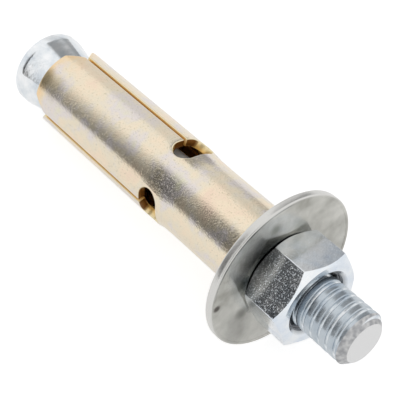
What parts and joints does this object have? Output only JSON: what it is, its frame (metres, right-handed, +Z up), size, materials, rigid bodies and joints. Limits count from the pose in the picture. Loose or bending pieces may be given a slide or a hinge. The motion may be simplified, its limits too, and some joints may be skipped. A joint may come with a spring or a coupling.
{
  "type": "sleeve anchor",
  "caption": "Expansion anchor for masonry: a threaded stud with a cone at its tail inside a slotted sleeve, with a flat washer and a hexagon nut.",
  "frame": {"origin": "centre of the bounding box's base: the anchor lies on the rim of its washer and the rim of its tail, both at Z = 0", "axes": "+X along the anchor towards its threaded end, which is raised by 6.4 degrees, +Z up"},
  "size_m": [0.0708, 0.024, 0.0239],
  "materials": {
    "bright_zinc_stud": "bright zinc plating",
    "yellow_zinc_sleeve": "yellow passivated zinc, faintly iridescent, satin",
    "dull_zinc_washer": "dull zinc plating",
    "bright_zinc_nut": "bright zinc plating"
  },
  "bodies": {
    "stud": {"stud": "bright_zinc_stud"},
    "sleeve": {"sleeve": "yellow_zinc_sleeve"},
    "washer": {"washer": "dull_zinc_washer"},
    "nut": {"nut": "bright_zinc_nut"}
  },
  "joints": [
    {"name": "sleeve_spin", "type": "hinge", "parent": "stud", "child": "sleeve", "pos_m": [0.01866, 0, 0.0119], "axis": [0.9938, 0, 0.1114], "continuous": true},
    {"name": "washer_slide", "type": "slide", "parent": "stud", "child": "washer", "axis": [0.9938, 0, 0.1114], "range_m": [0, 0.00776]},
    {"name": "nut_turn", "type": "hinge", "parent": "washer", "child": "nut", "pos_m": [0.01866, 0, 0.0119], "axis": [0.9938, 0, 0.1114], "range_deg": [0, 1980]}
  ],
  "couplings": [
    {"joint": "washer_slide", "follows": "nut_turn", "m_per_rad": 0.00022457}
  ]
}
